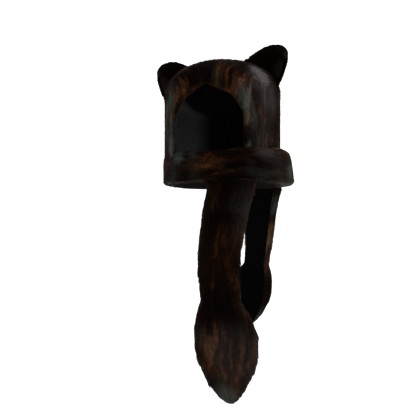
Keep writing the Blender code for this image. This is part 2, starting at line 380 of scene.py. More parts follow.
@dataclass(frozen=True)
class ClothFinish:
    """Polyester lining: fine plain weave, dyed black and calendered.

    To the eye it is flat black with a faint grey bloom where light rakes it, and a weave that only
    shows close to. Where panels are marked for it, their colour holds painted light: charcoal, as if
    light fell on them through the face opening, fading to black towards their seams.
    """

    name: str = "black_polyester_lining"
    colour: str = "#020202"
    # Painted light: the charcoal that marked panels are coloured, as if lit through the face opening;
    # the flag below turns it on.
    painted_lit_colour: str = "#303030"
    paints_lit_panels: bool = False
    thread: float = 1.2 * MM
    thread_height: float = 0.1 * MM
    slub: float = 9.0 * MM
    slub_spread: tuple[float, float] = (0.8, 1.15)
    # How far from a seam the painted light takes to come in.
    fade: float = 10 * MM
    roughness: float = 0.7
    specular: float = 0.01

    def material(self) -> bpy.types.Material:
        """Builds the material, with a weave about four times coarser than a real one, so that it shows.

        Returns:
            The material.
        """
        material, tree = blank_material(self.name)
        # Painted light: marked panels rise from black at their seams to the lit charcoal.
        side = add_node(tree, "ShaderNodeAttribute", attribute_name=SEAM).outputs["Fac"]
        panel = remap(tree, side, (0.0, self.fade), (0.0, 1.0))
        tint = add_node(
            tree,
            "ShaderNodeMix",
            data_type="RGBA",
            links={0: panel} if self.paints_lit_panels else {},
            values={0: 0.0, 6: linear(self.colour), 7: linear(self.painted_lit_colour)},
        )
        slub = uneven(tree, self.slub, 4.0, 0.5, self.slub_spread)
        bump = add_node(
            tree,
            "ShaderNodeBump",
            links={"Height": self.weave(tree)},
            values={"Strength": 0.35, "Distance": self.thread_height},
        )
        shader = add_node(
            tree,
            "ShaderNodeBsdfPrincipled",
            links={"Base Color": darkened(tree, tint.outputs[2], slub), "Normal": bump.outputs[0]},
            values={"Roughness": self.roughness, "Specular IOR Level": self.specular},
        )
        to_surface(tree, shader)
        return material

    def weave(self, tree: bpy.types.NodeTree) -> bpy.types.NodeSocket:
        """Crosses two sets of threads.

        Args:
            tree: The material's node tree.

        Returns:
            The weave's height.
        """
        place = add_node(tree, "ShaderNodeTexCoord").outputs["Object"]
        turns = math.tau / self.thread
        x, y, z = (
            calculate(tree, "SINE", calculate(tree, "MULTIPLY", axis, turns))
            for axis in add_node(tree, "ShaderNodeSeparateXYZ", links={0: place}).outputs
        )
        return calculate(tree, "MULTIPLY", calculate(tree, "ADD", x, y), z)


@dataclass(frozen=True)
class PaperFinish:
    """Seamless studio paper, lit by lamps of its own: matt and nearly white, with no grain."""

    name: str = "seamless_white_paper"
    colour: str = "#f4f4f4"
    glow: float = 0.85

    def material(self) -> bpy.types.Material:
        """Builds the paper's plain matt surface, with the glow of its own lamps.

        Returns:
            The material.
        """
        material, tree = blank_material(self.name)
        shader = add_node(
            tree,
            "ShaderNodeBsdfPrincipled",
            values={
                "Base Color": linear(self.colour),
                "Roughness": 1.0,
                "Specular IOR Level": 0.0,
                "Emission Color": linear(self.colour),
                "Emission Strength": self.glow,
            },
        )
        to_surface(tree, shader)
        return material


def smoothstep(low: float, high: float, x: np.ndarray) -> np.ndarray:
    """Rises smoothly from 0 at low to 1 at high."""
    t = np.clip((x - low) / (high - low), 0, 1)
    return t * t * (3 - 2 * t)


def unit(v: np.ndarray) -> np.ndarray:
    """Scales each row to length 1."""
    return v / np.maximum(np.linalg.norm(v, axis=1, keepdims=True), TINY)


def along_surface(v: np.ndarray, normals: np.ndarray) -> np.ndarray:
    """Takes out of each row what points along its normal, and scales the rest to length 1."""
    return unit(v - normals * (v * normals).sum(1, keepdims=True))


def value_noise(points: np.ndarray, cell: float, seed: int) -> np.ndarray:
    """Smooth noise from 0 to 1 on a grid of random values.

    Args:
        points: Rows of X, Y, Z.
        cell: The grid's spacing in metres.
        seed: Picks the random values.

    Returns:
        One value for each row.
    """
    grid = points / cell
    low = np.floor(grid).astype(np.int64)
    part = grid - low
    part = part * part * (3 - 2 * part)
    total = np.zeros(len(points))
    for corner in range(8):
        step = np.array([corner & 1, corner >> 1 & 1, corner >> 2 & 1])
        x, y, z = (low + step).T
        key = (x * HASH[0]) ^ (y * HASH[1]) ^ (z * HASH[2]) ^ (seed * HASH[3])
        key = (key ^ (key >> 13)) * HASH_MIX & 0xFFFFFFFF
        key = (key ^ (key >> 16)) & LOW_BITS
        share = np.where(step == 1, part, 1 - part).prod(1)
        total += share * key / LOW_BITS
    return total


def streaks(
    points: np.ndarray, flow: np.ndarray, cell: float, reach: float, seed: int
) -> np.ndarray:
    """Noise smeared along the combed direction, so that it reads as streaks.

    Args:
        points: Rows of X, Y, Z.
        flow: The combed direction at each point.
        cell: A streak's width.
        reach: A streak's length.
        seed: Picks the random values.

    Returns:
        One value for each row, spread over 0 to 1.
    """
    steps = np.linspace(-0.5, 0.5, STREAK_STEPS) * reach
    smeared = sum(value_noise(points + s * flow, cell, seed) for s in steps) / len(steps)
    return np.clip(0.5 + (smeared - 0.5) * STREAK_GAIN, 0, 1)


def vertex_rows(mesh: bpy.types.Mesh, name: str) -> np.ndarray:
    """Reads a property of a mesh's vertices as rows of X, Y, Z.

    Args:
        mesh: The mesh.
        name: The property, "co" or "normal".

    Returns:
        One row for each vertex.
    """
    found = np.empty(len(mesh.vertices) * 3, np.float32)
    mesh.vertices.foreach_get(name, found)
    return found.reshape(-1, 3).astype(float)


def coordinates(mesh: bpy.types.Mesh) -> np.ndarray:
    """Reads a mesh's vertices as rows of X, Y, Z."""
    return vertex_rows(mesh, "co")


def normals_of(mesh: bpy.types.Mesh) -> np.ndarray:
    """Reads a mesh's vertex normals as rows of X, Y, Z."""
    return vertex_rows(mesh, "normal")


def place_vertices(mesh: bpy.types.Mesh, co: np.ndarray) -> None:
    """Writes rows of X, Y, Z back to a mesh's vertices."""
    mesh.vertices.foreach_set("co", co.astype(np.float32).ravel())
    mesh.update()


def new_object(name: str, mesh: bpy.types.Mesh) -> bpy.types.Object:
    """Puts a mesh into the scene as an object at the origin.

    Args:
        name: The object's name, and the mesh's.
        mesh: The mesh.

    Returns:
        The new object.
    """
    mesh.name = name
    ob = bpy.data.objects.new(name, mesh)
    bpy.context.scene.collection.objects.link(ob)
    return ob


def mesh_from(bm: bmesh.types.BMesh, name: str) -> bpy.types.Mesh:
    """Turns a built form into a mesh and frees it.

    Args:
        bm: The built form.
        name: The mesh's name.

    Returns:
        The new mesh.
    """
    mesh = bpy.data.meshes.new(name)
    bm.to_mesh(mesh)
    bm.free()
    return mesh


def welded(node: bpy.types.Object) -> bmesh.types.BMesh:
    """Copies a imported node's solid as a form with its corners welded.

    Args:
        node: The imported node, which stays as it is.

    Returns:
        The form.
    """
    bm = bmesh.new()
    bm.from_mesh(node.data)
    bmesh.ops.remove_doubles(bm, verts=bm.verts, dist=MERGE)
    return bm


def freeze(ob: bpy.types.Object) -> None:
    """Applies an object's modifiers to its mesh.

    Args:
        ob: The object.
    """
    graph = bpy.context.evaluated_depsgraph_get()
    mesh = bpy.data.meshes.new_from_object(ob.evaluated_get(graph))
    ob.modifiers.clear()
    old, ob.data = ob.data, mesh
    mesh.name = ob.name
    bpy.data.meshes.remove(old)


def smooth(mesh: bpy.types.Mesh, rounds: int) -> None:
    """Moves each vertex half way to the middle of its neighbours.

    Args:
        mesh: The mesh.
        rounds: How many times they are moved.
    """
    bm = bmesh.new()
    bm.from_mesh(mesh)
    for _ in range(rounds):
        bmesh.ops.smooth_vert(
            bm, verts=bm.verts, factor=0.5, use_axis_x=True, use_axis_y=True, use_axis_z=True
        )
    bm.to_mesh(mesh)
    bm.free()


def soft_copy(node: bpy.types.Object, name: str, voxel: float, rounds: int) -> bpy.types.Object:
    """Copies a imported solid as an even, rounded mesh that can be padded and combed.

    Args:
        node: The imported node, which stays as it is.
        name: The new piece's name.
        voxel: The new mesh's spacing.
        rounds: How many times the corners are smoothed.

    Returns:
        The new object.
    """
    ob = new_object(name, mesh_from(welded(node), name))
    remesh = ob.modifiers.new("Even", "REMESH")
    remesh.mode = "VOXEL"
    remesh.voxel_size = voxel
    freeze(ob)
    smooth(ob.data, rounds)
    ob.data.shade_smooth()
    return ob


def solid_tree(node: bpy.types.Object) -> BVHTree:
    """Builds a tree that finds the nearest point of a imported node's surface."""
    places = [v.co for v in node.data.vertices]
    return BVHTree.FromPolygons(places, [p.vertices for p in node.data.polygons])


def settle(mesh: bpy.types.Mesh, node: bpy.types.Object, depth: float, hold: float) -> None:
    """Draws a softened copy back to a depth under its solid's surface, where smoothing shrank it.

    Args:
        mesh: The softened copy's mesh.
        node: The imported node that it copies.
        depth: How far under the solid's surface it lies.
        hold: The share by which it is drawn there, from 0 to 1.
    """
    tree = solid_tree(node)
    co, normals = coordinates(mesh), normals_of(mesh)
    nearest = np.array([tuple(tree.find_nearest(Vector(p))[0]) for p in co])
    place_vertices(mesh, co + hold * (nearest - co) - normals * depth)


def plump(ob: bpy.types.Object, pressure: float, frames: int, cap: float) -> None:
    """Fills a padded piece by cloth simulation, and keeps the shape that it swells to.

    Args:
        ob: The piece, a closed mesh.
        pressure: The push from inside.
        frames: How many frames it swells for.
        cap: The furthest that any point may move.
    """
    start = coordinates(ob.data)
    cloth = ob.modifiers.new("Fill", "CLOTH")
    settings = cloth.settings
    settings.quality = 4
    settings.mass = 0.3
    settings.use_pressure = True
    settings.uniform_pressure_force = pressure
    settings.tension_stiffness = 12
    settings.compression_stiffness = 12
    settings.bending_stiffness = 0.6
    settings.effector_weights.gravity = 0
    scene = bpy.context.scene
    for frame in range(1, frames + 1):
        scene.frame_set(frame)
    freeze(ob)
    scene.frame_set(1)
    move = coordinates(ob.data) - start
    far = np.linalg.norm(move, axis=1, keepdims=True)
    place_vertices(ob.data, start + move * np.minimum(1, cap / np.maximum(far, TINY)))
    ob.data.shade_smooth()


def thicken(ob: bpy.types.Object, depth: float, offset: float) -> None:
    """Gives a sheet its thickness.

    Args:
        ob: The sheet.
        depth: Its thickness.
        offset: Which side it grows to: 1 outwards, -1 inwards, or 0 for both.
    """
    solid = ob.modifiers.new("Cloth", "SOLIDIFY")
    solid.thickness = depth
    solid.offset = offset
    freeze(ob)
    ob.data.shade_smooth()
    ob.data.set_sharp_from_angle(angle=CREASE)


def cloth_copy(
    node: bpy.types.Object, name: str, material: bpy.types.Material
) -> bpy.types.Object:
    """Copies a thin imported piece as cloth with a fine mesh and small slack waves.

    Args:
        node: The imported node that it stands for.
        name: The new piece's name.
        material: Its material.

    Returns:
        The new object.
    """
    bm = welded(node)
    bmesh.ops.join_triangles(
        bm, faces=bm.faces, angle_face_threshold=0.7, angle_shape_threshold=0.7
    )
    long_edges = [e for e in bm.edges if e.calc_length() > LONG_EDGE]
    bmesh.ops.subdivide_edges(bm, edges=long_edges, cuts=2, use_grid_fill=True)
    mesh = mesh_from(bm, name)
    ob = new_object(name, mesh)
    co = coordinates(mesh)
    slack = value_noise(co, SLACK_SIZE, 5) - 0.5
    place_vertices(mesh, co + normals_of(mesh) * (slack * SLACK)[:, None])
    mesh.shade_smooth()
    mesh.set_sharp_from_angle(angle=CREASE)
    mesh.materials.clear()
    mesh.materials.append(material)
    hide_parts(node.name)
    return ob


@dataclass
class Groom:
    """How the fur of one piece is combed and coloured.

    Attributes:
        length: The pile's length where nothing shortens it.
        patches: Soft patches of colour.
        seed: Picks this piece's random draws.
        warmth: The coat's usual place between near black and tan.
        streak_width: How wide the brushed streaks are.
        streak_length: How long they are.
        contrast: How much lighter than its surroundings a streak is.
        sway: How far the combing strays from its flow, in degrees.
        sway_size: How far apart the combing's turns are.
        blotch: How big the coat's warm and dark blotches are.
        grey_size: How big its grizzled blotches are.
        rust_warmth: How warm the rust-coloured edges are.
    """

    length: float = 11 * MM
    patches: list[Patch] = field(default_factory=list)
    seed: int = 1
    warmth: float = 0.28
    streak_width: float = 4.5 * MM
    streak_length: float = 30 * MM
    contrast: float = 0.95
    sway: float = 24.0
    sway_size: float = 24 * MM
    blotch: float = 34 * MM
    grey_size: float = 26 * MM
    rust_warmth: float = 0.52

    def density(self, points: np.ndarray, normals: np.ndarray) -> np.ndarray:
        """How thickly the fur grows, from 0 to 1."""
        return np.ones(len(points))

    def flow(self, points: np.ndarray, normals: np.ndarray) -> np.ndarray:
        """The combed direction along the surface."""
        down = np.tile([0.0, 0.0, -1.0], (len(points), 1))
        return along_surface(down, normals)

    def combed(self, points: np.ndarray, normals: np.ndarray) -> np.ndarray:
        """The flow, turned a little to and fro as a brush leaves it.

        Args:
            points: Rows of X, Y, Z.
            normals: The surface normals there.

        Returns:
            Rows of unit directions.
        """
        flow = self.flow(points, normals)
        stray = value_noise(points, self.sway_size, self.seed + 3) - 0.5
        turn = np.radians(2 * self.sway * stray)[:, None]
        return unit(flow * np.cos(turn) + np.cross(normals, flow) * np.sin(turn))

    def lengths(self, points: np.ndarray, normals: np.ndarray) -> np.ndarray:
        """The pile's length at each point."""
        return np.full(len(points), self.length)

    def rust(self, points: np.ndarray, normals: np.ndarray) -> np.ndarray:
        """How much each point belongs to a rust-coloured edge, from 0 to 1."""
        return np.zeros(len(points))

    def tone(self, points: np.ndarray, normals: np.ndarray) -> np.ndarray:
        """The coat's colour at each point.

        Args:
            points: Rows of X, Y, Z.
            normals: The surface normals there.

        Returns:
            Rows of warmth, grizzle, silver with painted sheen, and the place along the lock, each from
            0 to 1.
        """
        flow = self.combed(points, normals)
        fine = streaks(points, flow, self.streak_width, self.streak_length, self.seed)
        wide = streaks(points, flow, 3 * self.streak_width, 2 * self.streak_length, self.seed + 5)
        broad = value_noise(points, self.blotch, self.seed + 7)
        grey = value_noise(points, self.grey_size, self.seed + 19)
        tone = np.zeros((len(points), 4))
        tone[:, 0] = self.warmth + self.contrast * (
            0.55 * (fine - 0.5) + 0.30 * (wide - 0.5) + 0.30 * (broad - 0.5)
        )
        tone[:, 1] = 0.14 * smoothstep(0.62, 0.9, grey)
        rust = self.rust(points, normals)
        tone[:, 0] += rust * (self.rust_warmth + 0.35 * (fine - 0.5) - tone[:, 0])
        for patch in self.patches:
            far = np.linalg.norm(points - np.array(patch.centre), axis=1)
            soft = 1 - smoothstep(0.35, 1.0, far / patch.radius)
            tone[:, patch.hue.value] += patch.strength * soft * (0.45 + 0.9 * fine)
        return np.clip(tone, 0, 1)


@dataclass
class Coat:
    """A coat of locks grown on a skin.

    Real fibres are about 0.05 mm thick, far too fine to draw here, so each lock stands for a tuft of
    them about as wide as the finest streak that shows.

    Attributes:
        count: How many locks grow.
        width: A lock's width at its root.
        lift: How far the locks stand from the skin, in degrees.
        gather: The share by which neighbouring tips draw together.
        tuft: How many locks share one tip point.
        scatter: How far single locks stray from the combing, in radians.
        bury: How far the roots lie under the skin.
        glint: How far single locks' normals stray from the skin's.
        back: How far the roots reach back along the lock.
        ridge: How high a lock's back stands, as a share of its width.
        lifts: The least and most lift, as shares.
        sizes: The least and most length, as shares.
        widths: The least and most width, as shares.
        blend: The share by which a lock takes its leader's warmth.
        speckle: How far single locks' warmth strays.
    """

    count: int
    width: float = 1.45 * MM
    lift: float = 9.0
    gather: float = 0.40
    tuft: int = 12
    scatter: float = 0.11
    bury: float = 1.3 * MM
    glint: float = 0.12
    back: float = 1.5 * MM
    ridge: float = 0.3
    lifts: tuple[float, float] = (0.5, 1.5)
    sizes: tuple[float, float] = (0.7, 1.15)
    widths: tuple[float, float] = (0.7, 1.3)
    blend: float = 0.5
    speckle: float = 0.07

    def roots(
        self, skin: bpy.types.Mesh, groom: Groom, rng: np.random.Generator
    ) -> tuple[np.ndarray, np.ndarray]:
        """Scatters roots over a skin.

        Args:
            skin: The mesh that the fur grows on.
            groom: Says where it grows and how thickly.
            rng: The source of random draws.

        Returns:
            The roots' places and the skin's normals there.
        """
        co, normals = coordinates(skin), normals_of(skin)
        skin.calc_loop_triangles()
        corners = np.empty(len(skin.loop_triangles) * 3, np.int32)
        skin.loop_triangles.foreach_get("vertices", corners)
        corners = corners.reshape(-1, 3)
        a, b, c = (co[corners[:, k]] for k in range(3))
        area = np.linalg.norm(np.cross(b - a, c - a), axis=1)
        middle = (a + b + c) / 3
        weight = area * groom.density(middle, unit(normals[corners].sum(1)))
        chosen = rng.choice(len(area), self.count, p=weight / weight.sum())
        u, v = rng.random(self.count), rng.random(self.count)
        over = u + v > 1
        u[over], v[over] = 1 - u[over], 1 - v[over]
        share = np.stack([1 - u - v, u, v], 1)[:, :, None]
        held = corners[chosen]
        return (co[held] * share).sum(1), unit((normals[held] * share).sum(1))

    def grow(
        self, skin: bpy.types.Mesh, groom: Groom, name: str, material: bpy.types.Material
    ) -> bpy.types.Object:
        """Grows the coat.

        Args:
            skin: The mesh that it grows on.
            groom: How it is combed and coloured.
            name: The new piece's name.
            material: The fur's material.

        Returns:
            The new object.
        """
        rng = np.random.default_rng(groom.seed)
        root, normal = self.roots(skin, groom, rng)
        flow = groom.combed(root, normal)
        across = unit(np.cross(flow, normal))
        swing = rng.normal(0, self.scatter, self.count)[:, None]
        lift = np.radians(self.lift * rng.uniform(*self.lifts, self.count))[:, None]
        combed = unit(flow + across * swing)
        way = combed * np.cos(lift) + normal * np.sin(lift)
        length = (groom.lengths(root, normal) * rng.uniform(*self.sizes, self.count))[:, None]
        tip = root + way * length
        leader = self.leaders(root)
        tip += self.gather * (tip[leader] - tip)
        width = (self.width * rng.uniform(*self.widths, self.count))[:, None]
        across = unit(np.cross(tip - root, normal))
        base = root - normal * self.bury - way * self.back
        aside = across * width / 2
        corners = np.stack([base - aside, base + aside, base + normal * width * self.ridge, tip], 1)
        leans = rng.normal(0, self.glint, (2, self.count, 1))
        facing = unit(normal + across * leans[0] + combed * leans[1])
        tone = groom.tone(root, normal)
        tone[:, 0] = np.clip(tone[:, 0] + self.blend * (tone[leader, 0] - tone[:, 0]), 0, 1)
        tone[:, 0] = np.clip(tone[:, 0] + rng.normal(0, self.speckle, self.count), 0, 1)
        return self.build(corners, facing, tone, name, material)

    def leaders(self, root: np.ndarray) -> np.ndarray:
        """Finds the lock that each lock gathers to, among every tuft-th lock.

        Args:
            root: The locks' roots.

        Returns:
            The place of each lock's leader in the rows.
        """
        chosen = np.arange(0, self.count, self.tuft)
        tree = KDTree(len(chosen))
        for k in chosen:
            tree.insert(root[k], int(k))
        tree.balance()
        return np.array([tree.find(p)[1] for p in root])

    def build(
        self,
        corners: np.ndarray,
        facing: np.ndarray,
        tone: np.ndarray,
        name: str,
        material: bpy.types.Material,
    ) -> bpy.types.Object:
        """Joins the locks into one mesh, each a closed spike of four faces.

        Args:
            corners: For each lock, its left, right and top root corners and its tip.
            facing: Each lock's normal. It follows the skin's, so brushed fur shines as one surface.
            tone: Each lock's tone.
            name: The new piece's name.
            material: The fur's material.

        Returns:
            The new object.
        """
        spike = np.array([[0, 1, 2], [0, 2, 3], [2, 1, 3], [1, 0, 3]])
        faces = (np.arange(self.count)[:, None, None] * 4 + spike).reshape(-1)
        mesh = bpy.data.meshes.new(name)
        mesh.vertices.add(self.count * 4)
        mesh.vertices.foreach_set("co", corners.astype(np.float32).ravel())
        mesh.loops.add(len(faces))
        mesh.loops.foreach_set("vertex_index", faces.astype(np.int32))
        mesh.polygons.add(len(faces) // 3)
        mesh.polygons.foreach_set("loop_start", np.arange(0, len(faces), 3, dtype=np.int32))
        mesh.update(calc_edges=True)
        mesh.normals_split_custom_set_from_vertices(np.repeat(facing, 4, axis=0))
        spread = np.repeat(tone, 4, axis=0)
        # The place along each lock, which the material turns into painted shade towards the root.
        spread[:, 3] = np.tile([0.0, 0.0, 0.15, 1.0], self.count)
        store_tone(mesh, spread)
        side = math.ceil(math.sqrt(self.count))
        cell = np.stack(np.divmod(np.arange(self.count), side), 1)[:, None, :]
        inside = np.array([[0.1, 0.1], [0.9, 0.1], [0.5, 0.3], [0.5, 0.9]])
        spots = ((cell + inside) / side).reshape(-1, 2)[faces]
        layer = mesh.uv_layers.new(name=BAKE_MAP)
        layer.uv.foreach_set("vector", spots.astype(np.float32).ravel())
        mesh.materials.append(material)
        return new_object(name, mesh)


def store_tone(mesh: bpy.types.Mesh, tone: np.ndarray) -> None:
    """Writes the tone attribute that the fur's material reads."""
    layer = mesh.attributes.new(TONE, "FLOAT_COLOR", "POINT")
    layer.data.foreach_set("color", tone.astype(np.float32).ravel())


def dress_skin(ob: bpy.types.Object, groom: Groom, material: bpy.types.Material) -> None:
    """Colours the backing under the fur like its locks a little below their middle, with the painted
    shade there.

    Args:
        ob: The backing.
        groom: How its fur is coloured.
        material: The fur's material.
    """
    tone = groom.tone(coordinates(ob.data), normals_of(ob.data))
    # Painted shade for the backing, as deep as a little below the locks' middle.
    tone[:, 3] = 0.25
    store_tone(ob.data, tone)
    ob.data.materials.clear()
    ob.data.materials.append(material)


@dataclass
class Opening:
    """The pointed face opening, repeated from the part's source.

    Attributes:
        half_width: Half its width between the jambs.
        top: The height of its point.
        rise: How high the arch stands over the jambs.
        runs: One side of the arch, as shares of the half width across and of the rise up.
    """

    half_width: float = 0.070
    top: float = -0.060
    rise: float = 0.060
    runs: tuple[tuple[float, float], ...] = (
        (1.0, 0.0),
        (0.975, 0.10),
        (0.89, 0.28),
        (0.68, 0.625),
        (0.0, 1.0),
    )

    def half_at(self, z: np.ndarray) -> np.ndarray:
        """The opening's half width at each height, below zero over its point.

        Args:
            z: The heights.

        Returns:
            The half widths.
        """
        across, up = np.array(self.runs).T
        share = (z - self.top + self.rise) / self.rise
        return self.half_width * np.interp(share, up, across) - np.maximum(z - self.top, 0)

    def clearance(self, points: np.ndarray) -> np.ndarray:
        """How far each point is outside the opening's outline, seen from the front.

        Args:
            points: Rows of X, Y, Z.

        Returns:
            The distances, below zero inside the opening.
        """
        spots = np.stack([np.abs(points[:, 0]), points[:, 2]], 1)
        outline = np.array(self.runs) * [self.half_width, self.rise]
        outline += [0.0, self.top - self.rise]
        outline = np.vstack([[self.half_width, -1.0], outline])
        nearest = np.full(len(points), 1.0)
        for start, end in zip(outline, outline[1:]):
            run = end - start
            share = np.clip((spots - start) @ run / (run @ run), 0, 1)[:, None]
            nearest = np.minimum(nearest, np.linalg.norm(spots - start - share * run, axis=1))
        return np.where(spots[:, 0] > self.half_at(spots[:, 1]), nearest, -nearest)


@dataclass
class HoodGroom(Groom):
    """Fur combed from the face opening up over the crown and down the back.

    Attributes:
        opening: The face opening.
        radius: The hood's outside radius.
        muzzle: The point that the pile at the opening's edge is combed away from.
        seam_angle: How far round from the front the two seams are, in degrees.
        foot: The height at which the slanted cut of the front panel starts.
        cut_rise: How far it has risen at the seam.
        cut_width: How far from the seam it starts.
        half: Which half of the hood the fur grows on: -1 in front, 1 behind, 0 for both.
        seats: The lowest fur, in front of the seams and behind them.
        wall_reach: How far from the axis the outside of the wall is at least.
        rim_reach: The same for the opening's rolled edge.
        rim: How far from the opening's outline the rolled edge goes.
        outward: How far a face must look outwards or up, as a sine.
        crown: The height over which faces that look up count as outside.
        inside: The height and distance from the axis under which they are inside again.
        dome_rise: How deep the dome is.
        dome_reach: Its radius, a little inside the pile.
        roundness: The power that shapes it.
        round_root: One over that power.
        corner_tone: The least warmth and grizzle of the pale corner under the cut.
    """

    opening: Opening = field(default_factory=Opening)
    radius: float = 0.129
    muzzle: tuple[float, float, float] = (0.0, -0.120, -0.150)
    seam_angle: float = 40.5
    foot: float = -0.1815
    cut_rise: float = 15.5 * MM
    cut_width: float = 12.5 * MM
    half: int = 0
    seats: tuple[float, float] = (-0.1875, -0.1800)
    wall_reach: float = 0.121
    rim_reach: float = 0.1185
    rim: float = 0.012
    outward: float = 0.15
    crown: float = -0.06
    inside: tuple[float, float] = (0.0045, 0.1)
    dome_rise: float = 0.0655
    dome_reach: float = 0.1205
    roundness: float = 2.1
    round_root: float = 0.476
    corner_tone: float = 0.50

    def density(self, points: np.ndarray, normals: np.ndarray) -> np.ndarray:
        """Fur grows on the outside and over the opening's rolled edge.

        Args:
            points: Rows of X, Y, Z.
            normals: The surface normals there.

        Returns:
            1 where it grows, and 0 elsewhere.
        """
        reach = np.linalg.norm(points[:, :2], axis=1)
        outward = (normals[:, :2] * unit(points[:, :2])).sum(1)
        upward = normals[:, 2] > self.outward
        outer = (outward > self.outward) | upward & (points[:, 2] > self.crown)
        near = (self.opening.clearance(points) < self.rim) & (points[:, 1] < 0)
        rim = near & (reach > self.rim_reach)
        inner = upward & (points[:, 2] < self.inside[0]) & (reach < self.inside[1])
        turn = np.degrees(np.arctan2(np.abs(points[:, 0]), -points[:, 1]))
        seated = points[:, 2] > np.where(turn < self.seam_angle + 2, *self.seats)
        full = np.clip(1 - (reach / self.dome_reach) ** self.roundness, 0, 1) ** self.round_root
        dome = points[:, 2] > -self.dome_rise * (1 - full)
        here = points[:, 1] * self.half >= 0
        outside = outer & (dome | (reach > self.wall_reach))
        return ((outside | rim) & ~inner & seated & here).astype(float)

    def flow(self, points: np.ndarray, normals: np.ndarray) -> np.ndarray:
        """Up beside and over the face opening, back over the crown, and down behind the seams.

        Args:
            points: Rows of X, Y, Z.
            normals: The surface normals there.

        Returns:
            Rows of unit directions.
        """
        x, z = points[:, 0], points[:, 2]
        turn = np.degrees(np.arctan2(np.abs(x), -points[:, 1]))
        front = 1 - smoothstep(self.seam_angle - 2, self.seam_angle + 3, turn)
        crown = smoothstep(-0.064, -0.020, z)
        low = smoothstep(-0.100, -0.130, z)
        wall = np.stack([0.45 * np.sign(x) * low * front, np.zeros(len(x)), 2 * front - 1], 1)
        behind = smoothstep(40, 95, turn)
        over = np.stack([1.5 * x / self.radius, 1.2 - behind, -1.1 * behind], 1)
        way = wall * (1 - crown)[:, None] + over * crown[:, None]
        edge = 1 - smoothstep(0.001, 0.010, self.opening.clearance(points))
        edge = (edge * (points[:, 1] < 0))[:, None]
        away = unit(points - np.array(self.muzzle))
        outer = unit(points * [1, 1, 0])
        way = unit(way) * (1 - edge) + (away + 0.6 * outer) * edge
        return along_surface(way, normals)

    def lengths(self, points: np.ndarray, normals: np.ndarray) -> np.ndarray:
        """Shorter at the opening's edge and in the corner under the chin cut.

        Args:
            points: Rows of X, Y, Z.
            normals: Not used.

        Returns:
            The pile's length at each point.
        """
        near = smoothstep(0.0, 0.022, self.opening.clearance(points))
        near = np.where(points[:, 1] < 0, near, 1.0)
        corner = points[:, 2] < self.chin_cut(points)
        return self.length * (0.42 + 0.58 * near) * np.where(corner, 0.35, 1.0)

    def turn(self, points: np.ndarray) -> np.ndarray:
        """How far each point is round from the seam, in radians, below zero in the front panel."""
        return np.arctan2(np.abs(points[:, 0]), -points[:, 1]) - math.radians(self.seam_angle)

    def chin_cut(self, points: np.ndarray) -> np.ndarray:
        """The height of the front panel's slanted lower edge, far below the foot behind the seam.

        Args:
            points: Rows of X, Y, Z.

        Returns:
            The heights.
        """
        turn = self.turn(points)
        cut = self.foot + self.cut_rise * (1 + turn * self.radius / self.cut_width)
        return np.where(turn < 0.01, cut, -1.0)

    def tone(self, points: np.ndarray, normals: np.ndarray) -> np.ndarray:
        """The side panels are a little darker, and the pile parts darkly along the seams.

        At the foot of each jamb the front panel is cut off at a slant over a pale corner.

        Args:
            points: Rows of X, Y, Z.
            normals: The surface normals there.

        Returns:
            Rows of warmth, grizzle, silver with painted sheen, and the place along the lock, each from
            0 to 1.
        """
        tone = super().tone(points, normals)
        turn = self.turn(points)
        wall = smoothstep(-0.080, -0.100, points[:, 2])
        parting = (1 - smoothstep(0.5 * MM, 2.2 * MM, np.abs(turn) * self.radius)) * wall
        behind = smoothstep(0.0, 0.02, turn) * wall
        tone[:, :2] *= (1 - 0.18 * behind)[:, None]
        over = points[:, 2] - self.chin_cut(points)
        line = 1 - smoothstep(0.4 * MM, 1.4 * MM, np.abs(over))
        parting = np.where(over > 0, np.maximum(parting, line), 0)
        corner = over < 0
        tone[corner, :2] = np.maximum(tone[corner, :2], self.corner_tone)
        tone[:, :3] *= (1 - 0.65 * parting)[:, None]
        return tone

    def rust(self, points: np.ndarray, normals: np.ndarray) -> np.ndarray:
        """Rust-coloured pile where the edge turns in, on the wearer's left of it, and over the arch.

        Args:
            points: Rows of X, Y, Z.
            normals: Not used.

        Returns:
            How much each point belongs to it, from 0 to 1.
        """
        reach = np.linalg.norm(points[:, :2], axis=1)
        clear = self.opening.clearance(points)
        inner = (1 - smoothstep(0.0, 0.004, clear)) * (1 - smoothstep(0.1165, 0.1205, reach))
        outer = (1 - smoothstep(0.0, 0.0035, clear)) * smoothstep(-0.01, 0.03, points[:, 0])
        blush = (1 - smoothstep(0.0, 0.016, clear)) * smoothstep(-0.125, -0.09, points[:, 2])
        return np.clip(0.85 * inner + 0.45 * outer + 0.22 * blush, 0, 1) * (points[:, 1] < 0)


def padded_skin(
    node: bpy.types.Object, name: str, voxel: float, rounds: int, depth: float, fill: float
) -> bpy.types.Object:
    """Makes a piece's backing: an even copy of its solid, set in under its fur and padded out.

    Args:
        node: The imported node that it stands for.
        name: The new piece's name.
        voxel: The mesh's spacing.
        rounds: How many times the corners are smoothed.
        depth: How far it lies under the solid's surface.
        fill: The pressure of the padding, or 0 for none. It pushes as far as the depth at most.

    Returns:
        The backing.
    """
    skin = soft_copy(node, name, voxel, rounds)
    settle(skin.data, node, depth, DRAWN_BACK)
    if fill:
        plump(skin, fill, FILL_FRAMES, depth)
    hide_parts(node.name)
    return skin


def reach_to(node: bpy.types.Object, points: np.ndarray, far: float) -> np.ndarray:
    """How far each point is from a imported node's surface, up to far.

    Args:
        node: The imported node.
        points: Rows of X, Y, Z.
        far: The most that is told.

    Returns:
        The distances.
    """
    tree = solid_tree(node)
    found = (tree.find_nearest(Vector(p), far)[3] for p in points)
    return np.array([far if d is None else d for d in found])


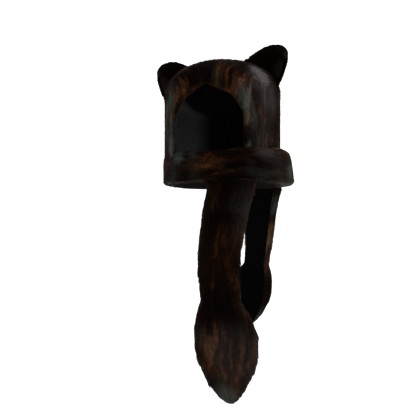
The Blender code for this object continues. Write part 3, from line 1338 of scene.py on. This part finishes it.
@dataclass
class LinedGroom(Groom):
    """Fur that stops where a lining starts.

    Attributes:
        lining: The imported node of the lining.
        margin: How far from it the fur stops.
    """

    lining: bpy.types.Object | None = None
    margin: float = 2.5 * MM

    def density(self, points: np.ndarray, normals: np.ndarray) -> np.ndarray:
        """No fur grows under the lining."""
        return (reach_to(self.lining, points, 4 * self.margin) > self.margin).astype(float)


@dataclass
class CollarGroom(LinedGroom):
    """Fur combed round the collar one way, as a wrapped strip of it lies."""

    def flow(self, points: np.ndarray, normals: np.ndarray) -> np.ndarray:
        """Across the front to the wearer's left and on round the back, a little up and down.

        Args:
            points: Rows of X, Y, Z.
            normals: The surface normals there.

        Returns:
            Rows of unit directions.
        """
        round_way = np.stack([-points[:, 1], points[:, 0], np.zeros(len(points))], 1)
        rise = 0.5 * (value_noise(points, 30 * MM, self.seed + 23) - 0.6)
        way = unit(round_way)
        way[:, 2] += rise
        return along_surface(way, normals)


@dataclass
class EarGroom(LinedGroom):
    """Fur that lies round the dish and closes to the ear's foot behind, dark inside the cup.

    Attributes:
        side: Which ear it is.
        foot: The middle of the left ear's foot.
    """

    side: Side = Side.LEFT
    foot: tuple[float, float, float] = (0.080, -0.028, -0.030)

    def flow(self, points: np.ndarray, normals: np.ndarray) -> np.ndarray:
        """Round the dish in front, back over the rim, and down to the foot behind.

        Args:
            points: Rows of X, Y, Z.
            normals: The surface normals there.

        Returns:
            Rows of unit directions.
        """
        back = np.array([0.0, 1.0, 0.0])
        foot = np.array(self.foot) * np.array([self.side.sign, 1, 1])
        middle = coordinates(self.lining.data).mean(0)
        rim = smoothstep(0.45, 0.85, self.sideways(normals))[:, None]
        behind = smoothstep(-0.3, 0.3, normals[:, 1])[:, None]
        way = unit(np.cross(points - middle, back)) * (1 - behind) - unit(points - foot) * behind
        way = way * (1 - rim) + back * rim
        return along_surface(way, normals)

    def lengths(self, points: np.ndarray, normals: np.ndarray) -> np.ndarray:
        """Cropped short inside the cup and on its rim."""
        front = smoothstep(-0.9, 0.1, -normals[:, 1])
        return self.length * (1 - 0.6 * front)

    def tone(self, points: np.ndarray, normals: np.ndarray) -> np.ndarray:
        """Nearly black brown plush inside the cup, and the coat's colours outside.

        Args:
            points: Rows of X, Y, Z.
            normals: The surface normals there.

        Returns:
            Rows of warmth, grizzle, silver with painted sheen, and the place along the lock, each from
            0 to 1.
        """
        tone = super().tone(points, normals)
        inside = smoothstep(0.55, 0.85, -normals[:, 1])
        tone[:, :3] *= (1 - 0.5 * inside)[:, None]
        return tone

    def rust(self, points: np.ndarray, normals: np.ndarray) -> np.ndarray:
        """Dark rust pile on the rim."""
        return 0.55 * smoothstep(0.45, 0.9, self.sideways(normals))

    def sideways(self, normals: np.ndarray) -> np.ndarray:
        """How far each face looks away from the front and the back, as a sine."""
        return np.sqrt(1 - np.clip(normals[:, 1], -1, 1) ** 2)


@dataclass
class TailGroom(LinedGroom):
    """Fur combed down a tail along its outline.

    Attributes:
        steps: How many heights the outline is read at.
        heights: Those heights.
        middles: The middle of the tail at each.
        halves: Its half width at each.
        trimmed: How far up from the blunt tip the pile is trimmed.
    """

    steps: int = 60
    heights: np.ndarray | None = None
    middles: np.ndarray | None = None
    halves: np.ndarray | None = None
    trimmed: float = 0.035

    def measure(self, skin: bpy.types.Mesh) -> None:
        """Reads the tail's middle line and half width at even heights.

        Args:
            skin: The tail's backing.
        """
        co = coordinates(skin)
        edges = np.linspace(co[:, 2].min(), co[:, 2].max(), self.steps + 1)
        bins = np.clip(np.digitize(co[:, 2], edges) - 1, 0, self.steps - 1)
        low = np.array([co[bins == k, 0].min() for k in range(self.steps)])
        high = np.array([co[bins == k, 0].max() for k in range(self.steps)])
        self.heights = (edges[:-1] + edges[1:]) / 2
        even = np.ones(5) / 5
        self.middles, self.halves = (
            np.convolve(np.pad(row / 2, 2, "edge"), even, "valid") for row in (low + high, high - low)
        )

    def lengths(self, points: np.ndarray, normals: np.ndarray) -> np.ndarray:
        """Trimmed short at the blunt tip."""
        above = points[:, 2] - self.heights[0]
        return self.length * (0.3 + 0.7 * smoothstep(0.0, self.trimmed, above))

    def flow(self, points: np.ndarray, normals: np.ndarray) -> np.ndarray:
        """Down the tail, spreading and closing with its outline.

        Args:
            points: Rows of X, Y, Z.
            normals: The surface normals there.

        Returns:
            Rows of unit directions.
        """
        slope = np.gradient(self.middles, self.heights)
        spread = np.gradient(np.log(self.halves), self.heights)
        middle, lean, open_up = (
            np.interp(points[:, 2], self.heights, values) for values in (self.middles, slope, spread)
        )
        aside = lean + np.clip((points[:, 0] - middle) * open_up, -1.5, 1.5)
        way = np.stack([-aside, np.zeros(len(points)), -np.ones(len(points))], 1)
        return along_surface(way, normals)


HOOD_PATCHES = [
    Patch((-0.089, -0.093, -0.084), 0.030, Hue.GRIZZLE, 0.65),
    Patch((-0.084, -0.098, -0.130), 0.034, Hue.GRIZZLE, 0.50),
    Patch((0.075, -0.104, -0.094), 0.022, Hue.GRIZZLE, 0.55),
    Patch((-0.050, -0.118, -0.062), 0.026, Hue.TAN, 0.10),
    Patch((-0.050, -0.115, -0.050), 0.026, Hue.TAN, -0.22),
    Patch((-0.033, -0.123, -0.037), 0.012, Hue.TAN, 0.25),
    Patch((0.018, -0.126, -0.040), 0.012, Hue.TAN, 0.20),
    Patch((0.033, -0.125, -0.051), 0.014, Hue.TAN, 0.15),
    Patch((0.060, -0.114, -0.078), 0.026, Hue.TAN, 0.15),
    Patch((0.078, -0.103, -0.135), 0.030, Hue.TAN, 0.12),
    Patch((0.077, -0.103, -0.118), 0.030, Hue.GRIZZLE, 0.45),
    # Painted sheen beside the jamb on the wearer's left, where the key light would shine.
    Patch((0.070, -0.108, -0.080), 0.024, Hue.SILVER_AND_SHEEN, 0.18),
    Patch((0.105, -0.075, -0.120), 0.012, Hue.TAN, 0.30),
    # Painted sheen at the foot of the jamb on the wearer's right.
    Patch((-0.075, -0.105, -0.166), 0.026, Hue.SILVER_AND_SHEEN, 0.60),
    # Painted sheen on the crown's shoulder and down the side panel on the wearer's left, where the key
    # light would shine.
    Patch((0.086, -0.090, -0.031), 0.016, Hue.SILVER_AND_SHEEN, 0.60),
    Patch((0.096, -0.083, -0.037), 0.018, Hue.SILVER_AND_SHEEN, 0.60),
    Patch((0.106, -0.072, -0.042), 0.018, Hue.SILVER_AND_SHEEN, 0.60),
    Patch((0.091, -0.087, -0.040), 0.034, Hue.SILVER_AND_SHEEN, 0.20),
    Patch((0.114, -0.060, -0.070), 0.036, Hue.SILVER_AND_SHEEN, 0.22),
    Patch((0.114, -0.060, -0.100), 0.036, Hue.SILVER_AND_SHEEN, 0.06),
    Patch((0.106, -0.073, -0.148), 0.040, Hue.SILVER_AND_SHEEN, 0.06),
]

COLLAR_PATCHES = [
    Patch((-0.062, -0.110, -0.190), 0.021, Hue.GRIZZLE, 0.75),
    Patch((-0.030, -0.119, -0.189), 0.014, Hue.GRIZZLE, 0.45),
    Patch((0.149, -0.047, -0.224), 0.022, Hue.GRIZZLE, 0.42),
    Patch((-0.096, -0.088, -0.242), 0.012, Hue.GRIZZLE, 0.40),
    Patch((-0.104, -0.076, -0.216), 0.036, Hue.GRIZZLE, -0.60),
    Patch((-0.104, -0.076, -0.216), 0.044, Hue.TAN, 0.26),
    Patch((0.010, -0.123, -0.222), 0.048, Hue.TAN, 0.22),
    # Painted sheen on the collar's top on the wearer's left, where the key light would shine.
    Patch((0.104, -0.098, -0.186), 0.026, Hue.SILVER_AND_SHEEN, 0.25),
    Patch((0.105, -0.102, -0.225), 0.050, Hue.TAN, -0.10),
]

TAIL_PATCHES = {
    Facing.FRONT: [
        # Painted sheen down the upper part of the tail on the wearer's left, where the key light would
        # shine.
        Patch((0.087, -0.125, -0.259), 0.032, Hue.SILVER_AND_SHEEN, 0.05),
        Patch((0.081, -0.134, -0.281), 0.036, Hue.SILVER_AND_SHEEN, 0.07),
        Patch((0.083, -0.140, -0.307), 0.032, Hue.SILVER_AND_SHEEN, 0.06),
        Patch((0.071, -0.153, -0.332), 0.026, Hue.SILVER_AND_SHEEN, 0.05),
        Patch((0.065, -0.138, -0.285), 0.046, Hue.TAN, -0.20),
        Patch((0.030, -0.137, -0.280), 0.022, Hue.TAN, 0.20),
        Patch((0.042, -0.191, -0.443), 0.034, Hue.TAN, -0.10),
        Patch((0.060, -0.197, -0.515), 0.062, Hue.TAN, 0.32),
        Patch((0.076, -0.195, -0.515), 0.062, Hue.SILVER_AND_SHEEN, 0.14),
        Patch((0.020, -0.193, -0.500), 0.024, Hue.GRIZZLE, 0.12),
        Patch((0.060, -0.190, -0.595), 0.034, Hue.GRIZZLE, 0.60),
    ],
    Facing.BACK: [
        Patch((0.107, 0.126, -0.280), 0.036, Hue.GRIZZLE, 0.40),
        Patch((0.090, 0.160, -0.400), 0.100, Hue.TAN, 0.46),
        Patch((0.090, 0.160, -0.400), 0.100, Hue.SILVER_AND_SHEEN, 0.08),
        Patch((0.050, 0.200, -0.600), 0.045, Hue.GRIZZLE, 0.60),
    ],
}


@dataclass
class Assembly:
    """A sub-assembly that is dressed in fur.

    Attributes:
        nodes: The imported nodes, by name.
        fur: The fur's material.
    """

    nodes: dict[str, bpy.types.Object]
    fur: bpy.types.Material


class Hood(Assembly):
    """The crown and wall of the hood."""

    def build(self) -> list[bpy.types.Object]:
        """Builds the padded skin and its coat.

        Returns:
            The new pieces.
        """
        groom = HoodGroom(
            seed=11,
            patches=HOOD_PATCHES,
            streak_width=4.2 * MM,
            streak_length=24 * MM,
            contrast=1.55,
        )
        skin = padded_skin(self.nodes["hood_shell"], "hood_skin", 3.6 * MM, 3, 1.2 * MM, 0)
        self.sew_down(skin.data)
        dress_skin(skin, groom, self.fur)
        coat = Coat(count=46000, lift=6.0)
        front = coat.grow(skin.data, replace(groom, half=-1), "hood_fur_front", self.fur)
        coat = replace(coat, count=42000)
        back = coat.grow(skin.data, replace(groom, half=1, seed=12), "hood_fur_back", self.fur)
        return [skin, front, back]

    def sew_down(self, skin: bpy.types.Mesh) -> None:
        """Draws the foot down inside the collar's upper edge, furthest at the chin.

        Args:
            skin: The hood's backing.
        """
        co = coordinates(skin)
        front = smoothstep(-0.060, -0.085, co[:, 1])
        drop = (3.5 + 8.5 * front) * MM
        co[:, 2] -= drop * smoothstep(-0.160, -0.174, co[:, 2])
        place_vertices(skin, co)


@dataclass
class HoodLining:
    """The lining inside the crown and wall, one sheet: two side panels with painted light, and one
    black over the crown and back.

    Attributes:
        radius: The inside radius.
        rise: How deep the dome is.
        roundness: The power that shapes the dome.
        foot: The height of its lower edge.
        cloth: Its thickness.
        setback: How far its opening lies outside the fur's.
        back_seam: Half the angle of the back panel.
        corner: The crown seam's height at the back panel.
        forward: The crown seam's height at the front.
        slow: How many times slower the side panels' painted light fades from the back seam than from
            the crown's.
        columns: How many columns of faces go round.
        drawn: How far from the opening's line the cut edge is drawn onto it.
        probe: How far to each side the line's direction is read.
    """

    radius: float = 0.1131
    rise: float = 0.0655
    roundness: float = 2.1
    foot: float = -0.1805
    cloth: float = 1.2 * MM
    setback: float = 0.004
    back_seam: float = 30.0
    corner: float = -0.052
    forward: float = -0.024
    slow: float = 4.5
    columns: int = 120
    drawn: float = 8 * MM
    probe: float = 0.5 * MM

    def build(self) -> list[bpy.types.Object]:
        """Builds the lining.

        Returns:
            The new pieces.
        """
        bm = bmesh.new()
        turns = [math.radians(a) for a in np.linspace(0, 90, 16)]
        outline = [(self.radius * math.sin(a), self.dome(math.sin(a))) for a in turns]
        outline += [(self.radius, z) for z in np.linspace(-self.rise, self.foot, 24)[1:]]
        verts = [bm.verts.new((x, 0, z)) for x, z in outline]
        edges = [bm.edges.new(pair) for pair in zip(verts, verts[1:])]
        bmesh.ops.spin(
            bm,
            geom=verts + edges,
            cent=(0, 0, 0),
            axis=(0, 0, 1),
            angle=math.tau,
            steps=self.columns,
            use_merge=True,
        )
        bmesh.ops.remove_doubles(bm, verts=bm.verts, dist=0.05 * MM)
        self.cut_opening(bm)
        bmesh.ops.recalc_face_normals(bm, faces=bm.faces)
        name = "hood_lining_cloth"
        ob = new_object(name, mesh_from(bm, name))
        thicken(ob, self.cloth, 1)
        mesh = ob.data
        layer = mesh.attributes.new(SEAM, "FLOAT", "POINT")
        layer.data.foreach_set("value", self.seam_side(coordinates(mesh)).astype(np.float32))
        # Painted light: the side panels are coloured charcoal, as if lit through the face opening.
        finish = ClothFinish(name="lining_with_painted_lit_panels", colour="#050505", paints_lit_panels=True)
        mesh.materials.append(finish.material())
        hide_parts("hood_lining")
        return [ob]

    def dome(self, share: float) -> float:
        """The dome's height at a share of the radius."""
        full = max(0.0, 1 - share**self.roundness) ** (1 / self.roundness)
        return -self.rise * (1 - full)

    def cut_opening(self, bm: bmesh.types.BMesh) -> None:
        """Takes away the faces in front of the face opening, and draws the cut edge onto its line.

        Args:
            bm: The lining before it is thickened.
        """
        hole = Opening()
        gone = []
        for face in bm.faces:
            middle = np.array([face.calc_center_median()])
            if middle[0, 1] < 0 and hole.clearance(middle)[0] < self.setback:
                gone.append(face)
        bmesh.ops.delete(bm, geom=gone, context="FACES")
        steps = [(0, 0, 0), (1, 0, 0), (-1, 0, 0), (0, 0, 1), (0, 0, -1)]
        for vert in [v for v in bm.verts if v.is_boundary and v.co.z > self.foot + MM]:
            clear = hole.clearance(np.array(vert.co) + self.probe * np.array(steps))
            off = self.setback - clear[0]
            if abs(off) < self.drawn:
                radius_squared = vert.co.xy.length_squared
                vert.co.x += off * (clear[1] - clear[2]) / (2 * self.probe)
                vert.co.z += off * (clear[3] - clear[4]) / (2 * self.probe)
                vert.co.y = -math.sqrt(max(radius_squared - vert.co.x**2, 0))

    def seam_side(self, points: np.ndarray) -> np.ndarray:
        """How far each point is inside a side panel, below zero outside, shrunk off the back seam.

        Args:
            points: Rows of X, Y, Z.

        Returns:
            The distances, which the lining's finish reads.
        """
        off_back = np.abs(np.arctan2(points[:, 0], points[:, 1]))
        aside = (off_back - math.radians(self.back_seam)) * self.radius / self.slow
        return np.minimum(aside, self.crown_seam(off_back) - points[:, 2])

    def crown_seam(self, off_back: np.ndarray) -> np.ndarray:
        """The crown seam's height at an angle from the middle of the back."""
        share = (off_back - math.radians(self.back_seam)) / math.radians(60)
        return self.corner + (self.forward - self.corner) * np.clip(share, 0, 2) ** 1.1


class Collar(Assembly):
    """The padded fur collar."""

    def build(self) -> list[bpy.types.Object]:
        """Builds the collar, its coat and its lining.

        Returns:
            The new pieces.
        """
        lining = self.nodes["collar_lining"]
        groom = CollarGroom(
            seed=21,
            patches=COLLAR_PATCHES,
            lining=lining,
            streak_width=3.4 * MM,
            streak_length=34 * MM,
            contrast=1.20,
        )
        skin = padded_skin(self.nodes["collar"], "collar_skin", 3.4 * MM, 1, 1.2 * MM, 3.0)
        dress_skin(skin, groom, self.fur)
        coat = Coat(count=38000, lift=6.0).grow(skin.data, groom, "collar_fur", self.fur)
        # Painted light: the collar's lining is coloured grey, unlike the black of the other linings, as
        # if the key light fell on its inner face.
        finish = ClothFinish(name="lining_painted_lit_grey", colour="#181716")
        band = cloth_copy(lining, "collar_lining_cloth", finish.material())
        return [skin, coat, band]


@dataclass
class Ear(Assembly):
    """One cup ear with its plush dish.

    Attributes:
        plush: The dish's material.
        side: Which ear it is.
        seat: How far out and how high the middle of its foot is.
        lean: How far it leans outwards, in degrees.
        flare: The share by which its foot is spread.
        bow: How far the foot's ends are bowed down.
        half_foot: Half the foot's width.
        band: Between which heights over its seat the spread fades out.
    """

    plush: bpy.types.Material
    side: Side
    seat: tuple[float, float] = (0.0927, -0.0363)
    lean: float = 45.0
    flare: float = 0.17
    bow: float = 9.0 * MM
    half_foot: float = 0.042
    band: tuple[float, float] = (0.018, 0.052)

    def build(self) -> list[bpy.types.Object]:
        """Builds the cup, its coat and the dish.

        Returns:
            The new pieces.
        """
        name = self.side.value
        dish_node = self.nodes[f"ear_lining_{name}"]
        groom = EarGroom(
            seed=31 + self.side.sign,
            side=self.side,
            lining=dish_node,
            length=4 * MM,
            streak_width=2.2 * MM,
            streak_length=18 * MM,
            patches=[
                # Painted highlight on the outer edge of the rim.
                Patch((0.143 * self.side.sign, -0.032, 0.014), 0.010, Hue.SILVER_AND_SHEEN, 0.5),
                Patch((0.130 * self.side.sign, -0.031, -0.020), 0.020, Hue.TAN, 0.25),
            ],
        )
        skin = padded_skin(
            self.nodes[f"ear_{name}"], f"ear_skin_{name}", 1.7 * MM, 2, 0.1 * MM, 0
        )
        smooth(skin.data, 3)
        self.spread(skin.data)
        dress_skin(skin, groom, self.fur)
        coat = Coat(
            count=13000, width=0.9 * MM, lift=2.5, gather=0.0, scatter=0.05, bury=0.6 * MM
        )
        coat = coat.grow(skin.data, groom, f"ear_fur_{name}", self.fur)
        dish = cloth_copy(dish_node, f"ear_dish_{name}", self.plush)
        self.spread(dish.data)
        # Painted sheen: the silver tone greys the dish round its outer lower lobe; the place of 0.5
        # along the lock gives it half the painted root shade.
        tone = np.zeros((len(dish.data.vertices), 4))
        lit = np.linalg.norm(coordinates(dish.data) - np.array(self.painted_sheen_lobe()), axis=1)
        tone[:, 2] = 0.10 * (1 - smoothstep(0.010, 0.024, lit))
        tone[:, 3] = 0.5
        store_tone(dish.data, tone)
        return [skin, coat, dish]

    def painted_sheen_lobe(self) -> tuple[float, float, float]:
        """The middle of the cup's outer, lower lobe, where grey sheen is painted into the dish."""
        return (0.133 * self.side.sign, -0.030, -0.012)

    def spread(self, mesh: bpy.types.Mesh) -> None:
        """Spreads the ear's foot and bows it down, where it is sewn round the crown's shoulder.

        Args:
            mesh: The cup or the dish.
        """
        co = coordinates(mesh)
        out = co[:, 0] * self.side.sign - self.seat[0]
        rise = co[:, 2] - self.seat[1]
        lean = math.radians(self.lean)
        along = out * math.cos(lean) - rise * math.sin(lean)
        up = out * math.sin(lean) + rise * math.cos(lean)
        low = 1 - smoothstep(*self.band, up)
        up -= self.bow * low * np.clip(np.abs(along) / self.half_foot, 0, 1.2) ** 2
        along *= 1 + self.flare * low
        co[:, 0] = (self.seat[0] + along * math.cos(lean) + up * math.sin(lean)) * self.side.sign
        co[:, 2] = self.seat[1] - along * math.sin(lean) + up * math.cos(lean)
        place_vertices(mesh, co)


@dataclass
class Tail(Assembly):
    """One long tail with its lining.

    Attributes:
        facing: Which tail it is.
        count: How many locks it has.
        sewn: How far its upper end is drawn up under the collar.
        taper: How far below its top that fades out.
    """

    facing: Facing
    count: int
    sewn: float = 4.5 * MM
    taper: float = 14 * MM

    def build(self) -> list[bpy.types.Object]:
        """Builds the tail, its coat and its lining.

        Returns:
            The new pieces.
        """
        name = f"{self.facing.value}_tail"
        lining = self.nodes[f"{name}_lining"]
        skin = padded_skin(self.nodes[name], f"{name}_skin", 3.0 * MM, 1, 1.0 * MM, 3.0)
        self.sew_on(skin.data)
        groom = TailGroom(
            seed=41 + self.facing.sign,
            patches=TAIL_PATCHES[self.facing],
            lining=lining,
            length=13 * MM,
            streak_length=42 * MM,
            warmth=0.24,
        )
        groom.measure(skin.data)
        dress_skin(skin, groom, self.fur)
        coat = Coat(count=self.count, lift=4.5, scatter=0.06)
        coat = coat.grow(skin.data, groom, f"{name}_fur", self.fur)
        panel = cloth_copy(lining, f"{name}_lining_cloth", ClothFinish().material())
        return [skin, coat, panel]

    def sew_on(self, skin: bpy.types.Mesh) -> None:
        """Draws the tail's upper end up under the collar's lower edge, where it is sewn on.

        Args:
            skin: The tail's backing.
        """
        co = coordinates(skin)
        top = co[:, 2].max()
        co[:, 2] += self.sewn * smoothstep(top - self.taper, top, co[:, 2])
        place_vertices(skin, co)


@dataclass(frozen=True)
class Lamp:
    """A square area light that faces a point.

    Attributes:
        name: Its name.
        place: Where it hangs.
        aim: The point that it faces.
        size: Its side.
        power: Its power in watts.
    """

    name: str
    place: tuple[float, float, float]
    aim: tuple[float, float, float]
    size: float
    power: float


@dataclass
class Studio:
    """The floor, backdrop, lights and camera.

    Attributes:
        half: Half the floor's side.
        wall: How high the wall is.
        bend: How far the bend reaches along the floor and up the wall.
        floor: The floor's height.
        round_angle: How far the camera stands round to the wearer's left, in degrees.
        eye: Where the camera stands.
        sensor: The camera's sensor width in millimetres.
        focal: The focal length as a share of the picture's width.
        sky: The strength of the pale sky.
        lamps: A broad key light on the wearer's left, a weak fill and a light over the crown.
    """

    half: float = 4.0
    wall: float = 6.0
    bend: float = 1.5
    floor: float = -0.80
    round_angle: float = 18.0
    eye: tuple[float, float, float] = (0.1837, -0.6532, -0.298)
    sensor: float = 36.0
    focal: float = 300 / 420
    sky: float = 0.24
    lamps: tuple[Lamp, ...] = (
        Lamp("key", (1.7, 0.10, 0.60), (0, 0, -0.2), 0.9, 38.0),
        Lamp("fill", (-1.6, -0.20, 0.10), (0, 0, -0.2), 0.8, 9.0),
        Lamp("top", (0.1, -0.50, 1.50), (0, 0, -0.1), 1.0, 10.0),
    )

    def build(self) -> None:
        """Builds the studio."""
        self.sweep()
        self.heavens()
        for lamp in self.lamps:
            self.hang(lamp)
        self.camera()
        bpy.context.scene.view_settings.view_transform = "Standard"

    def sweep(self) -> None:
        """Lays a paper sweep: a floor that rises in one bend into a wall."""
        bm = bmesh.new()
        bmesh.ops.create_grid(bm, x_segments=1, y_segments=1, size=self.half)
        far = [e for e in bm.edges if all(v.co.y > self.half - 0.1 for v in e.verts)]
        grown = bmesh.ops.extrude_edge_only(bm, edges=far)["geom"]
        raised = [v for v in grown if isinstance(v, bmesh.types.BMVert)]
        bmesh.ops.translate(bm, verts=raised, vec=(0, 0, self.wall))
        corner = [v for v in bm.verts if v.co.y > self.half - 0.1 and v.co.z < 0.1]
        bend = [e for e in bm.edges if all(v in corner for v in e.verts)]
        bmesh.ops.bevel(
            bm, geom=bend, offset=self.bend, segments=12, profile=0.5, affect="EDGES", material=-1
        )
        turned = Matrix.Rotation(math.radians(self.round_angle), 3, "Z")
        bmesh.ops.rotate(bm, verts=bm.verts, cent=(0, 0, 0), matrix=turned)
        bmesh.ops.translate(bm, verts=bm.verts, vec=(0, 0, self.floor))
        mesh = mesh_from(bm, "paper_sweep")
        mesh.shade_smooth()
        mesh.materials.append(PaperFinish().material())
        new_object("paper_sweep", mesh)

    def heavens(self) -> None:
        """Puts a pale sky all round."""
        world = bpy.data.worlds.new("pale_sky")
        bpy.context.scene.world = world
        world.use_nodes = True
        sky = world.node_tree.nodes["Background"].inputs
        sky["Color"].default_value = (1, 1, 1, 1)
        sky["Strength"].default_value = self.sky

    def hang(self, lamp: Lamp) -> None:
        """Hangs one light.

        Args:
            lamp: The light.
        """
        light = bpy.data.lights.new(lamp.name, "AREA")
        light.size = lamp.size
        light.energy = lamp.power
        ob = bpy.data.objects.new(lamp.name, light)
        bpy.context.scene.collection.objects.link(ob)
        ob.location = lamp.place
        way = Vector(lamp.aim) - Vector(lamp.place)
        ob.rotation_euler = way.to_track_quat("-Z", "Y").to_euler()

    def camera(self) -> None:
        """Sets the camera where the photograph was taken from."""
        lens = bpy.data.cameras.new("camera")
        lens.sensor_width = self.sensor
        lens.lens = self.sensor * self.focal
        camera = bpy.data.objects.new("camera", lens)
        bpy.context.scene.collection.objects.link(camera)
        camera.location = self.eye
        camera.rotation_euler = (math.radians(90), 0, math.radians(self.round_angle))
        bpy.context.scene.camera = camera


def main() -> None:
    """Builds every sub-assembly in order and reports each piece."""
    logging.basicConfig(level=logging.INFO, format="%(message)s")
    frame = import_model()
    nodes = frame["nodes"]
    fur = FurFinish().material()
    plush = FurFinish(name="ear_plush", deep="#0a0401", specular=0.004).material()
    assemblies = [
        Hood(nodes, fur),
        HoodLining(),
        Collar(nodes, fur),
        Ear(nodes, fur, plush, Side.LEFT),
        Ear(nodes, fur, plush, Side.RIGHT),
        Tail(nodes, fur, Facing.FRONT, 30000),
        Tail(nodes, fur, Facing.BACK, 21000),
    ]
    total = 0
    for assembly in assemblies:
        for piece in assembly.build():
            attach(piece, BODY)
            piece.data.calc_loop_triangles()
            count = len(piece.data.loop_triangles)
            total += count
            log.info("%s: %d triangles", piece.name, count)
    log.info("all pieces: %d triangles", total)
    Studio().build()


if __name__ == "__main__":
    main()
